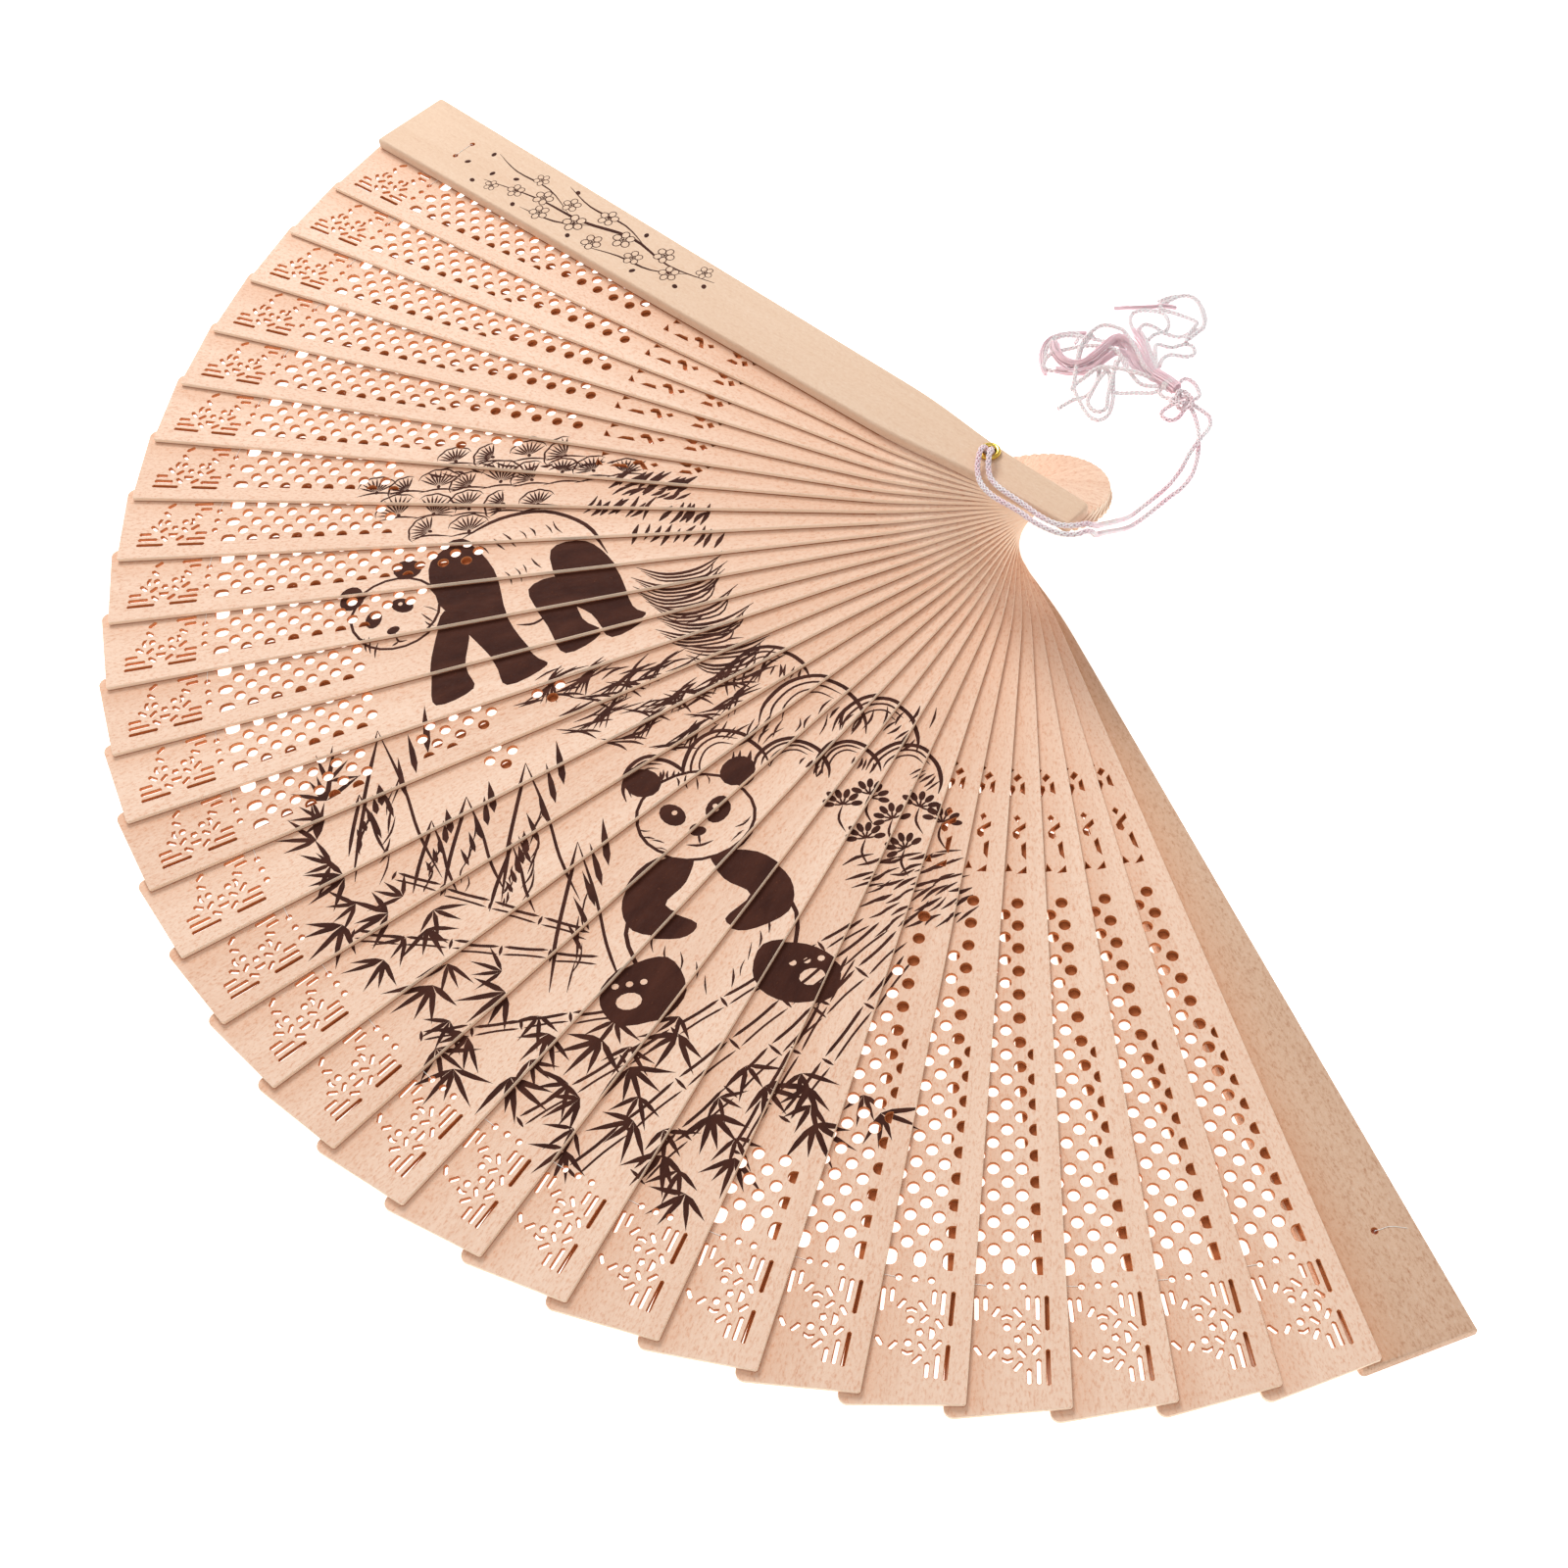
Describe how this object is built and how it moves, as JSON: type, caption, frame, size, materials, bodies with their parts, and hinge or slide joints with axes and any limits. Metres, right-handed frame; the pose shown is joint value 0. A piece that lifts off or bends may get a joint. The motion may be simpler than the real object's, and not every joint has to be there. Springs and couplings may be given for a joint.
{
  "type": "folding fan",
  "caption": "Open pierced wooden folding fan with printed blades, two guards on a brass eyelet, twin braided cords, knot and tassel.",
  "frame": {"origin": "on the eyelet's axis, at the outer face of the rear guard, which the fan lies on", "axes": "+Z along the eyelet from the rear guard to the front guard; +X across the open fan; the open fan points along -Y"},
  "size_m": [0.3479, 0.2641, 0.0362],
  "materials": {
    "blade_wood": "bare fine-grained thin wood, brown ink print",
    "front_guard_wood": "bare sanded pale wood, brown ink print",
    "rear_guard_wood": "bare sanded wood",
    "brass": "polished",
    "cord_silk": "braided artificial silk, soft sheen",
    "tassel_silk": "loose artificial silk strands, soft sheen"
  },
  "bodies": {
    "rear_guard": {"rear_guard": "rear_guard_wood", "rivet": "brass", "cord_outer": "cord_silk", "cord_inner": "cord_silk", "knot": "cord_silk", "tassel_head": "tassel_silk", "tassel": "tassel_silk"},
    "blade_01": {"blade_01": "blade_wood"},
    "blade_02": {"blade_02": "blade_wood"},
    "blade_03": {"blade_03": "blade_wood"},
    "blade_04": {"blade_04": "blade_wood"},
    "blade_05": {"blade_05": "blade_wood"},
    "blade_06": {"blade_06": "blade_wood"},
    "blade_07": {"blade_07": "blade_wood"},
    "blade_08": {"blade_08": "blade_wood"},
    "blade_09": {"blade_09": "blade_wood"},
    "blade_10": {"blade_10": "blade_wood"},
    "blade_11": {"blade_11": "blade_wood"},
    "blade_12": {"blade_12": "blade_wood"},
    "blade_13": {"blade_13": "blade_wood"},
    "blade_14": {"blade_14": "blade_wood"},
    "blade_15": {"blade_15": "blade_wood"},
    "blade_16": {"blade_16": "blade_wood"},
    "blade_17": {"blade_17": "blade_wood"},
    "blade_18": {"blade_18": "blade_wood"},
    "blade_19": {"blade_19": "blade_wood"},
    "blade_20": {"blade_20": "blade_wood"},
    "blade_21": {"blade_21": "blade_wood"},
    "blade_22": {"blade_22": "blade_wood"},
    "blade_23": {"blade_23": "blade_wood"},
    "blade_24": {"blade_24": "blade_wood"},
    "blade_25": {"blade_25": "blade_wood"},
    "blade_26": {"blade_26": "blade_wood"},
    "blade_27": {"blade_27": "blade_wood"},
    "blade_28": {"blade_28": "blade_wood"},
    "front_guard": {"front_guard": "front_guard_wood"}
  },
  "joints": [
    {"name": "fan_fold", "type": "hinge", "parent": "rear_guard", "child": "front_guard", "pos_m": [0, 0, 0], "axis": [0, 0, 1], "range_deg": [0, 152]},
    {"name": "blade_01_turn", "type": "hinge", "parent": "rear_guard", "child": "blade_01", "pos_m": [0, 0, 0], "axis": [0, 0, 1], "range_deg": [0, 5.29]},
    {"name": "blade_02_turn", "type": "hinge", "parent": "rear_guard", "child": "blade_02", "pos_m": [0, 0, 0], "axis": [0, 0, 1], "range_deg": [0, 10.53]},
    {"name": "blade_03_turn", "type": "hinge", "parent": "rear_guard", "child": "blade_03", "pos_m": [0, 0, 0], "axis": [0, 0, 1], "range_deg": [0, 15.77]},
    {"name": "blade_04_turn", "type": "hinge", "parent": "rear_guard", "child": "blade_04", "pos_m": [0, 0, 0], "axis": [0, 0, 1], "range_deg": [0, 21.02]},
    {"name": "blade_05_turn", "type": "hinge", "parent": "rear_guard", "child": "blade_05", "pos_m": [0, 0, 0], "axis": [0, 0, 1], "range_deg": [0, 26.26]},
    {"name": "blade_06_turn", "type": "hinge", "parent": "rear_guard", "child": "blade_06", "pos_m": [0, 0, 0], "axis": [0, 0, 1], "range_deg": [0, 31.5]},
    {"name": "blade_07_turn", "type": "hinge", "parent": "rear_guard", "child": "blade_07", "pos_m": [0, 0, 0], "axis": [0, 0, 1], "range_deg": [0, 36.74]},
    {"name": "blade_08_turn", "type": "hinge", "parent": "rear_guard", "child": "blade_08", "pos_m": [0, 0, 0], "axis": [0, 0, 1], "range_deg": [0, 41.98]},
    {"name": "blade_09_turn", "type": "hinge", "parent": "rear_guard", "child": "blade_09", "pos_m": [0, 0, 0], "axis": [0, 0, 1], "range_deg": [0, 47.22]},
    {"name": "blade_10_turn", "type": "hinge", "parent": "rear_guard", "child": "blade_10", "pos_m": [0, 0, 0], "axis": [0, 0, 1], "range_deg": [0, 52.46]},
    {"name": "blade_11_turn", "type": "hinge", "parent": "rear_guard", "child": "blade_11", "pos_m": [0, 0, 0], "axis": [0, 0, 1], "range_deg": [0, 57.71]},
    {"name": "blade_12_turn", "type": "hinge", "parent": "rear_guard", "child": "blade_12", "pos_m": [0, 0, 0], "axis": [0, 0, 1], "range_deg": [0, 62.95]},
    {"name": "blade_13_turn", "type": "hinge", "parent": "rear_guard", "child": "blade_13", "pos_m": [0, 0, 0], "axis": [0, 0, 1], "range_deg": [0, 68.19]},
    {"name": "blade_14_turn", "type": "hinge", "parent": "rear_guard", "child": "blade_14", "pos_m": [0, 0, 0], "axis": [0, 0, 1], "range_deg": [0, 73.43]},
    {"name": "blade_15_turn", "type": "hinge", "parent": "rear_guard", "child": "blade_15", "pos_m": [0, 0, 0], "axis": [0, 0, 1], "range_deg": [0, 78.67]},
    {"name": "blade_16_turn", "type": "hinge", "parent": "rear_guard", "child": "blade_16", "pos_m": [0, 0, 0], "axis": [0, 0, 1], "range_deg": [0, 83.91]},
    {"name": "blade_17_turn", "type": "hinge", "parent": "rear_guard", "child": "blade_17", "pos_m": [0, 0, 0], "axis": [0, 0, 1], "range_deg": [0, 89.15]},
    {"name": "blade_18_turn", "type": "hinge", "parent": "rear_guard", "child": "blade_18", "pos_m": [0, 0, 0], "axis": [0, 0, 1], "range_deg": [0, 94.39]},
    {"name": "blade_19_turn", "type": "hinge", "parent": "rear_guard", "child": "blade_19", "pos_m": [0, 0, 0], "axis": [0, 0, 1], "range_deg": [0, 99.64]},
    {"name": "blade_20_turn", "type": "hinge", "parent": "rear_guard", "child": "blade_20", "pos_m": [0, 0, 0], "axis": [0, 0, 1], "range_deg": [0, 104.88]},
    {"name": "blade_21_turn", "type": "hinge", "parent": "rear_guard", "child": "blade_21", "pos_m": [0, 0, 0], "axis": [0, 0, 1], "range_deg": [0, 110.12]},
    {"name": "blade_22_turn", "type": "hinge", "parent": "rear_guard", "child": "blade_22", "pos_m": [0, 0, 0], "axis": [0, 0, 1], "range_deg": [0, 115.36]},
    {"name": "blade_23_turn", "type": "hinge", "parent": "rear_guard", "child": "blade_23", "pos_m": [0, 0, 0], "axis": [0, 0, 1], "range_deg": [0, 120.6]},
    {"name": "blade_24_turn", "type": "hinge", "parent": "rear_guard", "child": "blade_24", "pos_m": [0, 0, 0], "axis": [0, 0, 1], "range_deg": [0, 125.84]},
    {"name": "blade_25_turn", "type": "hinge", "parent": "rear_guard", "child": "blade_25", "pos_m": [0, 0, 0], "axis": [0, 0, 1], "range_deg": [0, 131.08]},
    {"name": "blade_26_turn", "type": "hinge", "parent": "rear_guard", "child": "blade_26", "pos_m": [0, 0, 0], "axis": [0, 0, 1], "range_deg": [0, 136.33]},
    {"name": "blade_27_turn", "type": "hinge", "parent": "rear_guard", "child": "blade_27", "pos_m": [0, 0, 0], "axis": [0, 0, 1], "range_deg": [0, 141.57]},
    {"name": "blade_28_turn", "type": "hinge", "parent": "rear_guard", "child": "blade_28", "pos_m": [0, 0, 0], "axis": [0, 0, 1], "range_deg": [0, 146.81]}
  ],
  "couplings": [
    {"joint": "blade_01_turn", "follows": "fan_fold", "ratio": 0.034483},
    {"joint": "blade_02_turn", "follows": "fan_fold", "ratio": 0.068966},
    {"joint": "blade_03_turn", "follows": "fan_fold", "ratio": 0.10345},
    {"joint": "blade_04_turn", "follows": "fan_fold", "ratio": 0.13793},
    {"joint": "blade_05_turn", "follows": "fan_fold", "ratio": 0.17241},
    {"joint": "blade_06_turn", "follows": "fan_fold", "ratio": 0.2069},
    {"joint": "blade_07_turn", "follows": "fan_fold", "ratio": 0.24138},
    {"joint": "blade_08_turn", "follows": "fan_fold", "ratio": 0.27586},
    {"joint": "blade_09_turn", "follows": "fan_fold", "ratio": 0.31034},
    {"joint": "blade_10_turn", "follows": "fan_fold", "ratio": 0.34483},
    {"joint": "blade_11_turn", "follows": "fan_fold", "ratio": 0.37931},
    {"joint": "blade_12_turn", "follows": "fan_fold", "ratio": 0.41379},
    {"joint": "blade_13_turn", "follows": "fan_fold", "ratio": 0.44828},
    {"joint": "blade_14_turn", "follows": "fan_fold", "ratio": 0.48276},
    {"joint": "blade_15_turn", "follows": "fan_fold", "ratio": 0.51724},
    {"joint": "blade_16_turn", "follows": "fan_fold", "ratio": 0.55172},
    {"joint": "blade_17_turn", "follows": "fan_fold", "ratio": 0.58621},
    {"joint": "blade_18_turn", "follows": "fan_fold", "ratio": 0.62069},
    {"joint": "blade_19_turn", "follows": "fan_fold", "ratio": 0.65517},
    {"joint": "blade_20_turn", "follows": "fan_fold", "ratio": 0.68966},
    {"joint": "blade_21_turn", "follows": "fan_fold", "ratio": 0.72414},
    {"joint": "blade_22_turn", "follows": "fan_fold", "ratio": 0.75862},
    {"joint": "blade_23_turn", "follows": "fan_fold", "ratio": 0.7931},
    {"joint": "blade_24_turn", "follows": "fan_fold", "ratio": 0.82759},
    {"joint": "blade_25_turn", "follows": "fan_fold", "ratio": 0.86207},
    {"joint": "blade_26_turn", "follows": "fan_fold", "ratio": 0.89655},
    {"joint": "blade_27_turn", "follows": "fan_fold", "ratio": 0.93103},
    {"joint": "blade_28_turn", "follows": "fan_fold", "ratio": 0.96552}
  ]
}
